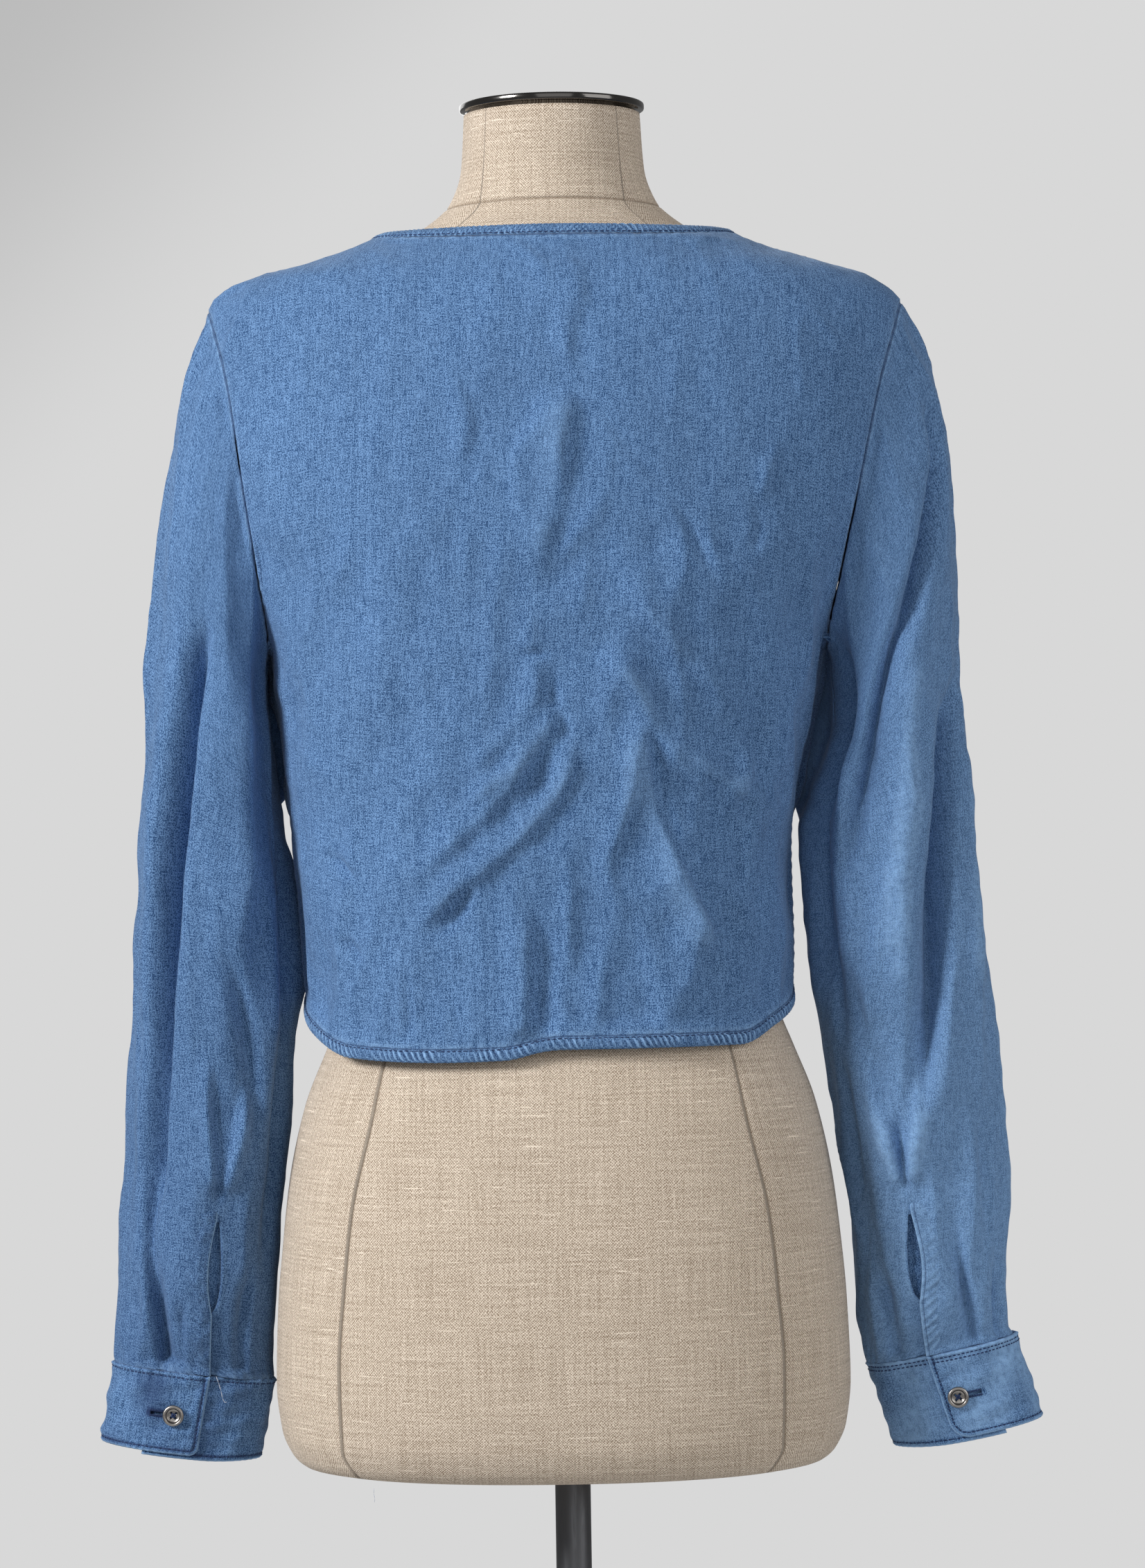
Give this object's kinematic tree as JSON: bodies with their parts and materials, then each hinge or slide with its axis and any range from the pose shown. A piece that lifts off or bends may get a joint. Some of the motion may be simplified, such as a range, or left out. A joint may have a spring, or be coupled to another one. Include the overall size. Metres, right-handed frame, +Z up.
{
  "type": "crop top on a dress form",
  "caption": "Cropped denim pullover blouse with long cuffed sleeves, resting on a limbless linen-covered dress form with a neck cap, a pole and a round base.",
  "frame": {"origin": "middle of the underside of the stand's base, on the floor", "axes": "+Z up, -Y towards the front of the blouse, +X towards the wearer's left sleeve"},
  "size_m": [0.5364, 0.38, 1.473],
  "materials": {
    "denim": "washed lightweight twill",
    "denim_binding": "washed twill with worn edges",
    "linen": "natural coarse weave",
    "cap_metal": "polished dark",
    "stand_metal": "satin dark grey",
    "button_metal": "worn gunmetal"
  },
  "bodies": {
    "root": {"back_panel": "denim", "front_panel": "denim", "neck_binding": "denim_binding", "hem_binding": "denim_binding", "sleeve_left": "denim", "placket_left": "denim_binding", "cuff_left": "denim", "button_left": "button_metal", "sleeve_right": "denim", "placket_right": "denim_binding", "cuff_right": "denim", "button_right": "button_metal", "form_body": "linen", "neck_cap": "cap_metal", "pole": "stand_metal", "base_hub": "stand_metal", "base": "stand_metal"}
  },
  "joints": []
}
